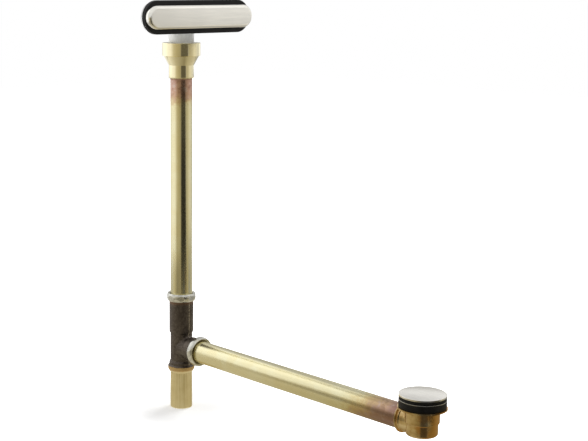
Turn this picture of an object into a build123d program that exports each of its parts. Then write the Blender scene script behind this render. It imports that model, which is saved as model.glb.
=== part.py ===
# Bath waste and overflow: a cast tee with two slip joints, a riser with its overflow head,
# and a drain run that ends in a shoe with a toe-tap waste. All sizes are in millimetres.
# The origin is the centre of the tailpiece's lower end. +Z is up. +X runs along the drain
# tube to the waste, and it is also the way that the overflow cover faces.
import os

from build123d import *

# Tubing and fits
tube_od = 38.1
tube_wall = 1.15
tube_end_break = 0.4
slip_gap = 0.25  # round a tube in its slip socket
braze_gap = 0.05  # round a tube in its brazed socket
thread_gap = 0.15  # round a screwed thread
seal_gap = 0.1  # round a tube in a rubber ring
seat_gap = 0.05  # between faces that seat on each other

# Layout, measured from the crossing of the tee's two axes
drain_axis_height = 108.5  # above the tailpiece's lower end
overflow_rise = 573.0  # to the centre of the overflow cover
drain_reach = 538.5  # to the axis of the waste

# Cast tee
tee_bore_step = 2.05  # the tube's radius over the tee's bore
branch_bore_step = 0.5  # the tee's bore over the branch's, on radius
tee_wall = 2.2
tee_taper = 2.5  # length of the step from a barrel to its socket
tee_fillet = 4.5  # where the branch meets the barrel
fillet_room = 0.9  # share of the free wall that a blend may take
tee_shoulder_rise = 27.5  # crossing to the floor of the overflow socket
overflow_socket_depth = 60.5
branch_shoulder_reach = 27.5  # crossing to the floor of the drain socket
drain_socket_depth = 19.0
slip_socket_wall = 1.7
slip_thread_depth = 1.4
slip_thread_length = 4.5
tee_foot_drop = 45.0  # crossing to the tee's lower lip
tee_foot_lip = 0.9
foot_neck_wall = 2.15  # round the tailpiece
foot_neck_height = 17.6  # above the lower lip
foot_taper = 3.5
bead_proud = 2.2  # of the neck
bead_height = 5.5
bead_cone_height = 6.0
bead_round = 1.0
tailpiece_socket_depth = 15.0
tailpiece_swage = 0.3  # taken off the tailpiece's radius inside the tee

# Slip joints: nut, friction ring and washer
nut_side_wall = 2.45
nut_flat_count = 8
nut_flat_turn = 26.5
nut_bulge = 0.7  # of the middle over the flats
nut_end_drop = 1.5  # of the ends under the flats
nut_lip = 2.6
nut_skirt = 4.95
nut_hole_gap = 1.5
nut_dish = 1.9
friction_ring_thickness = 1.0
friction_ring_gap = 0.3
slip_washer_thickness = 4.7
slip_washer_bevel = 0.8
overflow_tube_insert = 39.0  # of the riser in its socket
drain_tube_insert = 14.5  # of the drain tube in its socket

# Turned collar on the riser
collar_top_drop = 44.5  # below the cover's centre
collar_neck_wall = 2.2  # round the riser
collar_neck_length = 21.4
collar_tube_depth = 20.0
collar_floor_rise = 6.6  # spigot seat above the neck
collar_cone_wall = 8.1  # round the spigot, at the top of the cone
collar_cone_height = 15.2
collar_ledge = 1.0
collar_ledge_width = 2.85
collar_cup_height = 21.5
collar_rim_break = 0.6

# Overflow manifold, its spigot and the spigot's seal
spigot_od = 43.0
spigot_wall = 3.2
spigot_gap = 0.3
spigot_end_gap = 0.6
spigot_seal_depth = 7.0  # seal's upper face below the collar's rim
spigot_seal_height = 9.0
spigot_seal_width = 4.5
manifold_wall = 3.0
manifold_inset = 32.0  # from the flange's ends
manifold_lip = 2.0  # from the flange's long edges
manifold_back_width = 66.0
manifold_back = 25.0  # behind the riser's axis
flange_front = 36.0  # manifold's sealing face, in front of the riser's axis
flange_thickness = 5.0
flange_inset = 2.5  # from the gasket's outline
inlet_inset = 5.0  # from the manifold's ends
inlet_lip = 1.0  # from the gasket's opening

# Overflow gasket
wall_gasket_end_show = 1.0  # beyond the cover's ends
wall_gasket_edge_show = 8.3  # above and below the cover
wall_gasket_thickness = 10.0
wall_gasket_end_band = 16.5
wall_gasket_edge_band = 14.5
wall_gasket_round = 1.8

# Overflow cover and the tray that carries it
cover_width = 227.0
cover_height = 38.5
cover_depth = 9.5
cover_wall = 2.0
cover_edge_round = 5.0
cover_inner_round = 3.0
inlet_slot_count = 3
inlet_slot_length = 38.0
inlet_slot_pitch = 48.0
inlet_slot_depth = 5.0
tray_end_inset = 6.5  # from the cover's ends
tray_edge_inset = 4.0  # from the cover's long edges
tray_depth = 6.8
tray_wall = 1.6
tray_window_end_lip = 5.0  # from the manifold's inlet
tray_window_edge_lip = 2.0
tray_rail = 1.6  # between the window and the water slots below it

# Fasteners of the overflow head
bracket_screw_inset = 21.0  # from the tray's ends
bracket_screw_diameter = 4.8
bracket_screw_length = 30.0
bracket_screw_head_diameter = 9.0
bracket_screw_head_height = 2.6
bracket_screw_slot_width = 1.2
bracket_screw_slot_depth = 1.2
screw_boss_diameter = 11.0
screw_boss_length = 14.0
set_screw_inset = 25.5  # from the cover's ends
set_screw_diameter = 3.0
set_screw_setback = 3.0  # behind the cover's face
set_screw_sink = 1.5  # inside the cover's lower edge
set_screw_socket_width = 1.5
set_screw_socket_depth = 1.2

# Cast drain shoe
shoe_flange_rise = 24.5  # drain axis to the shoe's upper face
shoe_flange_show = 1.5  # beyond the gasket
shoe_flange_thickness = 2.2
shoe_wall = 5.1  # round the waste's thread
shoe_step = 2.0  # the upper part's radius over the lower's
shoe_step_rise = 0.3
shoe_ledge = 1.4  # height of the step's slope
shoe_step_round = 1.1
shoe_bottom_drop = 17.8
shoe_bottom_round = 3.5
shoe_floor = 3.4
shoe_sump_step = 0.6  # the thread's radius over the sump's
shoe_socket_reach = 35.0  # waste axis to the mouth of the tube socket
shoe_socket_wall = 1.5
shoe_socket_depth = 11.0
shoe_bulb_setback = 8.0  # waste axis to the centre of the socket's rounded end
shoe_bead_proud = 2.4  # the bead at the mouth, of the socket
shoe_bead_fall = 1.4  # each bead less proud than the one before
shoe_bead_width = 3.4
shoe_bead_pitch = 4.6
shoe_bead_count = 2

# Waste: gasket, flange with crossbars, stopper
waste_od = 70.0  # of the rim, its gasket and the stopper's seal
floor_gasket_gap = 0.5  # round the flange's neck
floor_gasket_thickness = 10.5
floor_gasket_bevel = 1.6
waste_rim_thickness = 1.2
waste_rim_round = 0.4
waste_thread_od = 41.2
waste_thread_wall = 2.6
waste_body_length = 27.0
waste_dish_depth = 3.2
waste_dish_reach = 6.0
waste_neck_height = 3.5
waste_neck_reach = 3.4
crossbar_width = 4.0
crossbar_height = 5.0
crossbar_count = 4
hub_wall = 3.0
hub_bore = 8.0
stopper_seal_thickness = 5.1
stopper_seal_lip_inset = 1.6
stopper_cap_overhang = 0.1
stopper_cap_edge = 2.6
stopper_cap_dome = 1.5
stopper_cap_break = 0.4
stopper_skirt_step = 0.4  # the skirt's radius over the waste thread's
stopper_skirt_wall = 2.0
stopper_skirt_depth = 4.2
stopper_boss_wall = 1.65  # round the spring's pocket
stopper_boss_depth = 3.6
spring_pocket_depth = 2.0

# Toe-tap cartridge
stopper_lift = 10.0
barrel_od = 12.0
barrel_wall = 1.8
barrel_shoulder_show = 1.1  # beyond the spring
barrel_shoulder_height = 2.0
barrel_mouth_gap = 2.85  # below the cap's boss
barrel_floor = 3.0
plunger_gap = 0.25
plunger_foot_gap = 1.2  # above the barrel's floor
plunger_tenon_step = 0.95  # the plunger's radius over its tenon's
plunger_tenon_length = 2.6
latch_pin_diameter = 1.6
latch_pin_drop = 3.0  # below the barrel's mouth
latch_pin_reach = 1.1  # into the plunger's track
latch_track_gap = 0.35
spring_wire = 1.6
spring_gap = 0.5  # round the barrel
spring_turns = 5

# Derived radii of the tube joints
tube_r = tube_od / 2
tube_bore_r = tube_r - tube_wall
slip_r = tube_r + slip_gap
braze_r = tube_r + braze_gap
slip_socket_r = slip_r + slip_socket_wall
slip_thread_r = slip_socket_r + slip_thread_depth
nut_thread_r = slip_thread_r + thread_gap
tee_bore_r = tube_r - tee_bore_step
branch_bore_r = tee_bore_r - branch_bore_step
barrel_r = tee_bore_r + tee_wall
branch_r = branch_bore_r + tee_wall
swaged_r = tube_r - tailpiece_swage
foot_neck_r = tube_r + foot_neck_wall
bead_r = foot_neck_r + bead_proud
spigot_r = spigot_od / 2
collar_neck_r = tube_r + collar_neck_wall
collar_cone_r = spigot_r + collar_cone_wall
collar_r = collar_cone_r + collar_ledge_width

# Derived sizes of the overflow head
wall_gasket_width = cover_width + 2 * wall_gasket_end_show
wall_gasket_height = cover_height + 2 * wall_gasket_edge_show
wall_gasket_opening_width = wall_gasket_width - 2 * wall_gasket_end_band
wall_gasket_opening_height = wall_gasket_height - 2 * wall_gasket_edge_band
flange_width = wall_gasket_width - 2 * flange_inset
flange_height = wall_gasket_height - 2 * flange_inset
manifold_width = flange_width - 2 * manifold_inset
manifold_height = flange_height - 2 * manifold_lip
inlet_width = manifold_width - 2 * inlet_inset
inlet_height = wall_gasket_opening_height - 2 * inlet_lip
tray_width = cover_width - 2 * tray_end_inset
tray_height = cover_height - 2 * tray_edge_inset
tray_window_width = inlet_width - 2 * tray_window_end_lip
tray_window_height = inlet_height - 2 * tray_window_edge_lip
bracket_screw_offset = tray_width / 2 - bracket_screw_inset
set_screw_offset = cover_width / 2 - set_screw_inset

# Derived radii of the waste and its cartridge
waste_r = waste_od / 2
waste_thread_r = waste_thread_od / 2
waste_bore_r = waste_thread_r - waste_thread_wall
shoe_flange_r = waste_r + shoe_flange_show
shoe_upper_r = waste_thread_r + shoe_wall
shoe_lower_r = shoe_upper_r - shoe_step
shoe_sump_r = waste_thread_r - shoe_sump_step
floor_gasket_bore_r = waste_thread_r + waste_neck_reach + floor_gasket_gap
hub_r = hub_bore / 2 + hub_wall
barrel_bore_r = barrel_od / 2 - barrel_wall
plunger_r = barrel_bore_r - plunger_gap
plunger_tenon_r = plunger_r - plunger_tenon_step
spring_r = barrel_od / 2 + spring_gap + spring_wire / 2
spring_pocket_r = spring_r + spring_wire / 2 + spring_gap / 2
barrel_shoulder_r = spring_r + spring_wire / 2 + barrel_shoulder_show
stopper_cap_r = waste_r + stopper_cap_overhang
stopper_skirt_r = waste_thread_r + stopper_skirt_step
stopper_boss_r = spring_pocket_r + stopper_boss_wall

# Derived places
overflow_mouth_rise = tee_shoulder_rise + overflow_socket_depth
branch_mouth_reach = branch_shoulder_reach + drain_socket_depth
collar_height = collar_neck_length + collar_cone_height + collar_ledge + collar_cup_height
collar_base_drop = collar_top_drop + collar_height
spigot_seat = collar_neck_length + collar_floor_rise
cover_back = flange_front + wall_gasket_thickness
waste_rim_base = shoe_flange_rise + floor_gasket_thickness + seat_gap
waste_rim_top = waste_rim_base + waste_rim_thickness
stopper_seal_top = waste_rim_top + seat_gap + stopper_seal_thickness
crossbar_base = waste_rim_top - waste_body_length
barrel_base = crossbar_base + crossbar_height + seat_gap
plunger_top = stopper_seal_top + seat_gap - stopper_boss_depth
barrel_mouth = plunger_top - barrel_mouth_gap

# Base planes, each with its Z along the axis of what is turned there
crossing = Plane(origin=(0, 0, drain_axis_height))
run = Plane(origin=(0, 0, drain_axis_height), x_dir=(0, 0, 1), z_dir=(1, 0, 0))
overflow_mouth = Plane(origin=(0, 0, drain_axis_height + overflow_mouth_rise))
branch_mouth = Plane(origin=(branch_mouth_reach, 0, drain_axis_height), x_dir=(0, 0, 1), z_dir=(1, 0, 0))
collar_base = Plane(origin=(0, 0, drain_axis_height + overflow_rise - collar_base_drop))
waste = Plane(origin=(drain_reach, 0, drain_axis_height))
shoe_socket = Plane(origin=(drain_reach, 0, drain_axis_height), x_dir=(0, 0, 1), z_dir=(-1, 0, 0))


def section_of(base):
    """The plane through a base's axis: across it is the radius, up it is the way along the axis."""
    return Plane(origin=base.origin, x_dir=base.x_dir, z_dir=-base.y_dir)


def axis_of(base):
    """The axis that a base's turned shapes are turned about."""
    return Axis(base.origin, base.z_dir)


def bath_wall(distance):
    """The upright plane at a distance in front of the riser, centred on the overflow cover."""
    height = drain_axis_height + overflow_rise
    return Plane(origin=(distance, 0, height), x_dir=(0, 1, 0), z_dir=(1, 0, 0))


def finish(piece, name):
    """Label a piece and write it to its own file."""
    piece.part.label = name
    export_step(piece.part, f"parts/{name}.step")


os.makedirs("parts", exist_ok=True)

# Tee: barrel and branch are turned shapes, blended where they meet, then bored
with BuildPart() as tee:
    with BuildSketch(section_of(crossing)):
        with BuildLine():
            Polyline(
                (0, -tee_foot_drop),
                (swaged_r + braze_gap + tee_foot_lip, -tee_foot_drop),
                (bead_r, bead_cone_height - tee_foot_drop),
                (bead_r, bead_cone_height + bead_height - tee_foot_drop),
                (foot_neck_r, bead_cone_height + bead_height + bead_proud - tee_foot_drop),
                (foot_neck_r, foot_neck_height - tee_foot_drop),
                (barrel_r, foot_neck_height + foot_taper - tee_foot_drop),
                (barrel_r, tee_shoulder_rise - tee_taper),
                (slip_socket_r, tee_shoulder_rise),
                (slip_socket_r, overflow_mouth_rise - slip_thread_length),
                (slip_thread_r, overflow_mouth_rise - slip_thread_length + slip_thread_depth),
                (slip_thread_r, overflow_mouth_rise),
                (0, overflow_mouth_rise),
                close=True,
            )
        make_face()
    revolve(axis=axis_of(crossing))
    bead_edges = tee.edges().filter_by(GeomType.CIRCLE).filter_by_position(
        Axis.Z,
        drain_axis_height - tee_foot_drop + bead_cone_height / 2,
        drain_axis_height - tee_foot_drop + bead_cone_height + bead_height + bead_proud / 2,
    )
    fillet(bead_edges, bead_round)
    with BuildSketch(section_of(run)):
        with BuildLine():
            Polyline(
                (0, 0),
                (branch_r, 0),
                (branch_r, branch_shoulder_reach - tee_taper),
                (slip_socket_r, branch_shoulder_reach),
                (slip_socket_r, branch_mouth_reach - slip_thread_length),
                (slip_thread_r, branch_mouth_reach - slip_thread_length + slip_thread_depth),
                (slip_thread_r, branch_mouth_reach),
                (0, branch_mouth_reach),
                close=True,
            )
        make_face()
    revolve(axis=axis_of(run))
    saddle = tee.edges().filter_by(GeomType.CIRCLE, reverse=True).filter_by(GeomType.LINE, reverse=True)
    free_reach = min(branch_shoulder_reach, tee_shoulder_rise) - tee_taper
    free_drop = tee_foot_drop - foot_neck_height - foot_taper
    room = min(free_reach, free_drop) - max(barrel_r, branch_r)
    fillet(saddle, min(tee_fillet, fillet_room * room))
    with BuildSketch(section_of(crossing)):
        with BuildLine():
            Polyline(
                (0, -tee_foot_drop),
                (swaged_r + braze_gap, -tee_foot_drop),
                (swaged_r + braze_gap, tailpiece_socket_depth - tee_foot_drop),
                (tee_bore_r, tailpiece_socket_depth - tee_foot_drop),
                (tee_bore_r, tee_shoulder_rise),
                (slip_r, tee_shoulder_rise),
                (slip_r, overflow_mouth_rise),
                (0, overflow_mouth_rise),
                close=True,
            )
        make_face()
    revolve(axis=axis_of(crossing), mode=Mode.SUBTRACT)
    with BuildSketch(section_of(run)):
        with BuildLine():
            Polyline(
                (0, 0),
                (branch_bore_r, 0),
                (branch_bore_r, branch_shoulder_reach),
                (slip_r, branch_shoulder_reach),
                (slip_r, branch_mouth_reach),
                (0, branch_mouth_reach),
                close=True,
            )
        make_face()
    revolve(axis=axis_of(run), mode=Mode.SUBTRACT)
finish(tee, "tee")

# Tailpiece: a tube whose upper end is swaged down to go into the tee's foot
tailpiece_shoulder = drain_axis_height - tee_foot_drop - seat_gap
tailpiece_top = tailpiece_shoulder + tailpiece_socket_depth
with BuildPart() as tailpiece:
    with BuildSketch(section_of(Plane.XY)):
        with BuildLine():
            Polyline(
                (tube_bore_r - tailpiece_swage, 0),
                (tube_r, 0),
                (tube_r, tailpiece_shoulder),
                (swaged_r, tailpiece_shoulder),
                (swaged_r, tailpiece_top),
                (tube_bore_r - tailpiece_swage, tailpiece_top),
                close=True,
            )
        make_face()
    revolve(axis=Axis.Z)
finish(tailpiece, "tailpiece")


def slip_nut(mouth, name):
    """A bulged ring nut with flats, screwed over a socket's mouth, dished round the tube."""
    lip_base = slip_washer_thickness + friction_ring_thickness + 3 * seat_gap
    top = lip_base + nut_lip
    flats_r = nut_thread_r + nut_side_wall
    end_r = flats_r - nut_end_drop
    hole_r = tube_r + nut_hole_gap
    with BuildPart() as nut:
        with BuildSketch(mouth.offset(-nut_skirt)):
            RegularPolygon(flats_r, nut_flat_count, major_radius=False, rotation=nut_flat_turn)
        extrude(amount=nut_skirt + top)
        with BuildSketch(section_of(mouth)):
            with BuildLine():
                Polyline((end_r, top), (0, top), (0, -nut_skirt), (end_r, -nut_skirt))
                ThreePointArc(
                    (end_r, -nut_skirt),
                    (flats_r + nut_bulge, (top - nut_skirt) / 2),
                    (end_r, top),
                )
            make_face()
        revolve(axis=axis_of(mouth), mode=Mode.INTERSECT)
        with BuildSketch(section_of(mouth)):
            with BuildLine():
                Polyline(
                    (0, -nut_skirt),
                    (nut_thread_r, -nut_skirt),
                    (nut_thread_r, lip_base),
                    (hole_r, lip_base),
                    (hole_r, top - nut_dish),
                    (hole_r + nut_dish, top),
                    (0, top),
                    close=True,
                )
            make_face()
        revolve(axis=axis_of(mouth), mode=Mode.SUBTRACT)
    finish(nut, name)


def slip_washer(mouth, name):
    """The rubber ring that the nut squeezes between the socket's mouth and the friction ring."""
    outer_r = nut_thread_r - seal_gap
    inner_r = tube_r + seal_gap
    with BuildPart() as washer:
        with BuildSketch(section_of(mouth)):
            with BuildLine():
                Polyline(
                    (inner_r, seat_gap),
                    (outer_r, seat_gap),
                    (outer_r, seat_gap + slip_washer_thickness - slip_washer_bevel),
                    (outer_r - slip_washer_bevel, seat_gap + slip_washer_thickness),
                    (inner_r, seat_gap + slip_washer_thickness),
                    close=True,
                )
            make_face()
        revolve(axis=axis_of(mouth))
    finish(washer, name)


def friction_ring(mouth, name):
    """The thin brass ring that lets the nut turn without dragging the rubber."""
    base = slip_washer_thickness + 2 * seat_gap
    with BuildPart() as ring:
        with BuildSketch(mouth.offset(base)):
            Circle(nut_thread_r - seal_gap)
            Circle(tube_r + friction_ring_gap, mode=Mode.SUBTRACT)
        extrude(amount=friction_ring_thickness)
    finish(ring, name)


for joint_name, joint_mouth in (("overflow", overflow_mouth), ("drain", branch_mouth)):
    slip_nut(joint_mouth, f"{joint_name}_slip_nut")
    slip_washer(joint_mouth, f"{joint_name}_slip_washer")
    friction_ring(joint_mouth, f"{joint_name}_friction_ring")


def brass_tube(base, length, name):
    """A plain length of drawn tube with its outer ends broken."""
    with BuildPart() as tube:
        with BuildSketch(base):
            Circle(tube_r)
            Circle(tube_bore_r, mode=Mode.SUBTRACT)
        extrude(amount=length)
        ends = tube.edges().filter_by(GeomType.CIRCLE).group_by(SortBy.RADIUS)[-1]
        chamfer(ends, tube_end_break)
    finish(tube, name)


overflow_tube_top = overflow_rise - collar_base_drop + collar_tube_depth - seat_gap
overflow_tube_foot = overflow_mouth_rise - overflow_tube_insert
brass_tube(crossing.offset(overflow_tube_foot), overflow_tube_top - overflow_tube_foot, "overflow_tube")

drain_tube_start = branch_mouth_reach - drain_tube_insert
drain_tube_end = drain_reach - shoe_socket_reach + shoe_socket_depth - seat_gap
brass_tube(run.offset(drain_tube_start), drain_tube_end - drain_tube_start, "drain_tube")

# Collar: the riser is brazed into its neck, the plastic spigot pushes into its cup
seal_base = collar_height - spigot_seal_depth - spigot_seal_height
seal_top = collar_height - spigot_seal_depth
groove_r = spigot_r + spigot_seal_width
with BuildPart() as overflow_collar:
    with BuildSketch(section_of(collar_base)):
        with BuildLine():
            Polyline(
                (braze_r, 0),
                (collar_neck_r, 0),
                (collar_neck_r, collar_neck_length),
                (collar_cone_r, collar_neck_length + collar_cone_height),
                (collar_r, collar_neck_length + collar_cone_height + collar_ledge),
                (collar_r, collar_height),
                (spigot_r + spigot_gap, collar_height),
                (spigot_r + spigot_gap, seal_top),
                (groove_r, seal_top),
                (groove_r, seal_base),
                (spigot_r + spigot_gap, seal_base),
                (spigot_r + spigot_gap, spigot_seat),
                (tube_bore_r, spigot_seat),
                (tube_bore_r, collar_tube_depth),
                (braze_r, collar_tube_depth),
                close=True,
            )
        make_face()
    revolve(axis=axis_of(collar_base))
    rim = overflow_collar.edges().group_by(Axis.Z)[-1].sort_by(SortBy.RADIUS)[-1]
    chamfer(rim, collar_rim_break)
finish(overflow_collar, "overflow_collar")

# Spigot seal: a ring in the collar's groove with one thick lip on the spigot
with BuildPart() as spigot_seal:
    with BuildSketch(section_of(collar_base)):
        with BuildLine():
            Polyline(
                (groove_r - seat_gap, seal_base + seat_gap),
                (groove_r - seat_gap, seal_top - seat_gap),
                (spigot_r + spigot_gap, seal_top - seat_gap),
                (spigot_r + seat_gap, (seal_base + seal_top) / 2),
                (spigot_r + spigot_gap, seal_base + seat_gap),
                close=True,
            )
        make_face()
    revolve(axis=axis_of(collar_base))
finish(spigot_seal, "spigot_seal")

# Overflow manifold: a tapering hollow housing behind the bath wall, with flange, bosses and spigot
spigot_foot = overflow_rise - collar_base_drop + spigot_seat + spigot_end_gap
flange_back = flange_front - flange_thickness
with BuildPart() as overflow_body:
    with BuildSketch(bath_wall(flange_back)):
        SlotOverall(manifold_width, manifold_height)
    with BuildSketch(bath_wall(-manifold_back)):
        SlotOverall(manifold_back_width, manifold_height)
    loft()
    with BuildSketch(crossing.offset(spigot_foot)):
        Circle(spigot_r)
    extrude(amount=overflow_rise - spigot_foot)
    with BuildSketch(bath_wall(flange_back)):
        SlotOverall(flange_width, flange_height)
    extrude(amount=flange_thickness)
    with BuildSketch(bath_wall(flange_back - screw_boss_length)):
        with Locations((-bracket_screw_offset, 0), (bracket_screw_offset, 0)):
            Circle(screw_boss_diameter / 2)
    extrude(amount=screw_boss_length)
    with BuildSketch(bath_wall(flange_back)):
        SlotOverall(manifold_width - 2 * manifold_wall, manifold_height - 2 * manifold_wall)
    with BuildSketch(bath_wall(manifold_wall - manifold_back)):
        SlotOverall(manifold_back_width - 2 * manifold_wall, manifold_height - 2 * manifold_wall)
    loft(mode=Mode.SUBTRACT)
    with BuildSketch(crossing.offset(spigot_foot)):
        Circle(spigot_r - spigot_wall)
    extrude(amount=overflow_rise - spigot_foot, mode=Mode.SUBTRACT)
    with BuildSketch(bath_wall(flange_back)):
        SlotOverall(inlet_width, inlet_height)
    extrude(amount=flange_thickness, mode=Mode.SUBTRACT)
    with BuildSketch(bath_wall(flange_front)):
        with Locations((-bracket_screw_offset, 0), (bracket_screw_offset, 0)):
            Circle(bracket_screw_diameter / 2 + thread_gap)
    extrude(amount=-(flange_thickness + screw_boss_length), mode=Mode.SUBTRACT)
finish(overflow_body, "overflow_body")

# Overflow gasket: one thick ring of rubber round the slot in the bath wall
with BuildPart() as overflow_gasket:
    with BuildSketch(bath_wall(flange_front + seat_gap)):
        SlotOverall(wall_gasket_width, wall_gasket_height)
    extrude(amount=wall_gasket_thickness - seat_gap)
    front_and_back = overflow_gasket.faces().filter_by(Axis.X)
    fillet(front_and_back.edges(), wall_gasket_round)
    with BuildSketch(bath_wall(flange_front)):
        SlotOverall(wall_gasket_opening_width, wall_gasket_opening_height)
    extrude(amount=wall_gasket_thickness, mode=Mode.SUBTRACT)
finish(overflow_gasket, "overflow_gasket")

# Cover tray: pressed from sheet, screwed through the slot into the manifold
tray_back = cover_back + seat_gap
with BuildPart() as overflow_bracket:
    with BuildSketch(bath_wall(tray_back)):
        SlotOverall(tray_width, tray_height)
    extrude(amount=tray_depth)
    with BuildSketch(bath_wall(tray_back + tray_wall)):
        SlotOverall(tray_width - 2 * tray_wall, tray_height - 2 * tray_wall)
    extrude(amount=tray_depth, mode=Mode.SUBTRACT)
    with BuildSketch(bath_wall(tray_back)):
        SlotOverall(tray_window_width, tray_window_height)
        with Locations((-bracket_screw_offset, 0), (bracket_screw_offset, 0)):
            Circle(bracket_screw_diameter / 2 + seal_gap)
    extrude(amount=tray_wall, mode=Mode.SUBTRACT)
    with BuildSketch(Plane(origin=(tray_back, 0, drain_axis_height + overflow_rise - tray_height / 2))):
        with GridLocations(0, inlet_slot_pitch, 1, inlet_slot_count):
            Rectangle(tray_depth, inlet_slot_length, align=(Align.MIN, Align.CENTER))
    extrude(amount=(tray_height - tray_window_height) / 2 - tray_rail, mode=Mode.SUBTRACT)
finish(overflow_bracket, "overflow_bracket")

# Bracket screws: two pan-head screws through the tray, one each side
screw_seat = tray_back + tray_wall + seat_gap
with BuildPart() as bracket_screws:
    with BuildSketch(bath_wall(screw_seat)):
        with Locations((-bracket_screw_offset, 0), (bracket_screw_offset, 0)):
            Circle(bracket_screw_head_diameter / 2)
    extrude(amount=bracket_screw_head_height)
    with BuildSketch(bath_wall(screw_seat)):
        with Locations((-bracket_screw_offset, 0), (bracket_screw_offset, 0)):
            Circle(bracket_screw_diameter / 2)
    extrude(amount=-bracket_screw_length)
    with BuildSketch(bath_wall(screw_seat + bracket_screw_head_height)):
        with Locations((-bracket_screw_offset, 0), (bracket_screw_offset, 0)):
            Rectangle(bracket_screw_head_diameter, bracket_screw_slot_width)
    extrude(amount=-bracket_screw_slot_depth, mode=Mode.SUBTRACT)
finish(bracket_screws, "bracket_screws")

# Overflow cover: a shallow pressed shell with a rounded face, water slots and two tapped holes below
cover_base = cover_back + seat_gap
cover_front = cover_base + cover_depth
set_screw_plane = Plane(
    origin=(cover_front - set_screw_setback, 0, drain_axis_height + overflow_rise - cover_height / 2)
)
with BuildPart() as overflow_cover:
    with BuildSketch(bath_wall(cover_base)):
        SlotOverall(cover_width, cover_height)
    extrude(amount=cover_depth)
    face_edges = overflow_cover.faces().sort_by(Axis.X)[-1].edges()
    fillet(face_edges, min(cover_edge_round, cover_depth - cover_wall))
    inner = cover_depth - cover_wall
    with BuildSketch(bath_wall(cover_base)):
        SlotOverall(cover_width - 2 * cover_wall, cover_height - 2 * cover_wall)
    extrude(amount=inner, mode=Mode.SUBTRACT)
    inner_edges = overflow_cover.faces().filter_by(Axis.X).sort_by(Axis.X)[-2].edges()
    fillet(inner_edges, min(cover_inner_round, fillet_room * inner))
    with BuildSketch(Plane(origin=(cover_base, 0, drain_axis_height + overflow_rise - cover_height / 2))):
        with GridLocations(0, inlet_slot_pitch, 1, inlet_slot_count):
            Rectangle(inlet_slot_depth, inlet_slot_length, align=(Align.MIN, Align.CENTER))
    extrude(amount=cover_wall, mode=Mode.SUBTRACT)
    with BuildSketch(set_screw_plane):
        with Locations((0, -set_screw_offset), (0, set_screw_offset)):
            Circle(set_screw_diameter / 2 + seat_gap)
    extrude(amount=tray_edge_inset, mode=Mode.SUBTRACT)
finish(overflow_cover, "overflow_cover")

# Set screws: two grub screws that pinch the tray from below
with BuildPart() as cover_set_screws:
    with BuildSketch(set_screw_plane.offset(set_screw_sink)):
        with Locations((0, -set_screw_offset), (0, set_screw_offset)):
            Circle(set_screw_diameter / 2)
    extrude(amount=tray_edge_inset - seat_gap - set_screw_sink)
    with BuildSketch(set_screw_plane.offset(set_screw_sink)):
        with Locations((0, -set_screw_offset), (0, set_screw_offset)):
            RegularPolygon(set_screw_socket_width / 2, 6, major_radius=False)
    extrude(amount=set_screw_socket_depth, mode=Mode.SUBTRACT)
finish(cover_set_screws, "cover_set_screws")

# Drain shoe: a cast cup with a flange, and a side socket whose rounded end runs under the cup
shoe_socket_r = braze_r + shoe_socket_wall
bulb_reach = shoe_bulb_setback - shoe_socket_r
waterway_r = tube_bore_r
with BuildPart() as drain_shoe:
    with BuildSketch(section_of(waste)):
        with BuildLine():
            Polyline(
                (0, -shoe_bottom_drop),
                (shoe_lower_r, -shoe_bottom_drop),
                (shoe_lower_r, shoe_step_rise),
                (shoe_upper_r, shoe_step_rise + shoe_ledge),
                (shoe_upper_r, shoe_flange_rise - shoe_flange_thickness),
                (shoe_flange_r, shoe_flange_rise - shoe_flange_thickness),
                (shoe_flange_r, shoe_flange_rise),
                (0, shoe_flange_rise),
                close=True,
            )
        make_face()
    revolve(axis=axis_of(waste))
    fillet(drain_shoe.edges().group_by(Axis.Z)[0], shoe_bottom_round)
    step_height = drain_axis_height + shoe_step_rise + shoe_ledge
    step_corner = (drain_reach, shoe_upper_r, step_height)
    step_edge = drain_shoe.edges().filter_by(GeomType.CIRCLE).sort_by_distance(step_corner)[0]
    fillet(step_edge, shoe_step_round)
    with BuildSketch(section_of(shoe_socket)):
        with BuildLine():
            Polyline(
                (0, bulb_reach),
                (0, shoe_socket_reach),
                (shoe_socket_r, shoe_socket_reach),
                (shoe_socket_r, shoe_bulb_setback),
            )
            RadiusArc((shoe_socket_r, shoe_bulb_setback), (0, bulb_reach), shoe_socket_r)
        make_face()
    revolve(axis=axis_of(shoe_socket))
    for bead in range(shoe_bead_count):
        bead_top = shoe_socket_reach - bead * shoe_bead_pitch
        bead_crest_r = shoe_socket_r + shoe_bead_proud - bead * shoe_bead_fall
        with BuildSketch(section_of(shoe_socket)):
            with BuildLine():
                Polyline(
                    (braze_r, bead_top),
                    (shoe_socket_r, bead_top),
                    (bead_crest_r, bead_top - shoe_bead_width / 3),
                    (bead_crest_r, bead_top - shoe_bead_width * 2 / 3),
                    (shoe_socket_r, bead_top - shoe_bead_width),
                    (braze_r, bead_top - shoe_bead_width),
                    close=True,
                )
            make_face()
        revolve(axis=axis_of(shoe_socket))
    with BuildSketch(section_of(waste)):
        with BuildLine():
            Polyline(
                (0, shoe_floor - shoe_bottom_drop),
                (shoe_sump_r, shoe_floor - shoe_bottom_drop),
                (shoe_sump_r, crossbar_base),
                (waste_thread_r + thread_gap, crossbar_base),
                (waste_thread_r + thread_gap, shoe_flange_rise),
                (0, shoe_flange_rise),
                close=True,
            )
        make_face()
    revolve(axis=axis_of(waste), mode=Mode.SUBTRACT)
    with BuildSketch(section_of(shoe_socket)):
        with BuildLine():
            Polyline(
                (0, 0),
                (waterway_r, 0),
                (waterway_r, shoe_socket_reach - shoe_socket_depth),
                (braze_r, shoe_socket_reach - shoe_socket_depth),
                (braze_r, shoe_socket_reach),
                (0, shoe_socket_reach),
                close=True,
            )
        make_face()
    revolve(axis=axis_of(shoe_socket), mode=Mode.SUBTRACT)
finish(drain_shoe, "drain_shoe")

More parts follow.
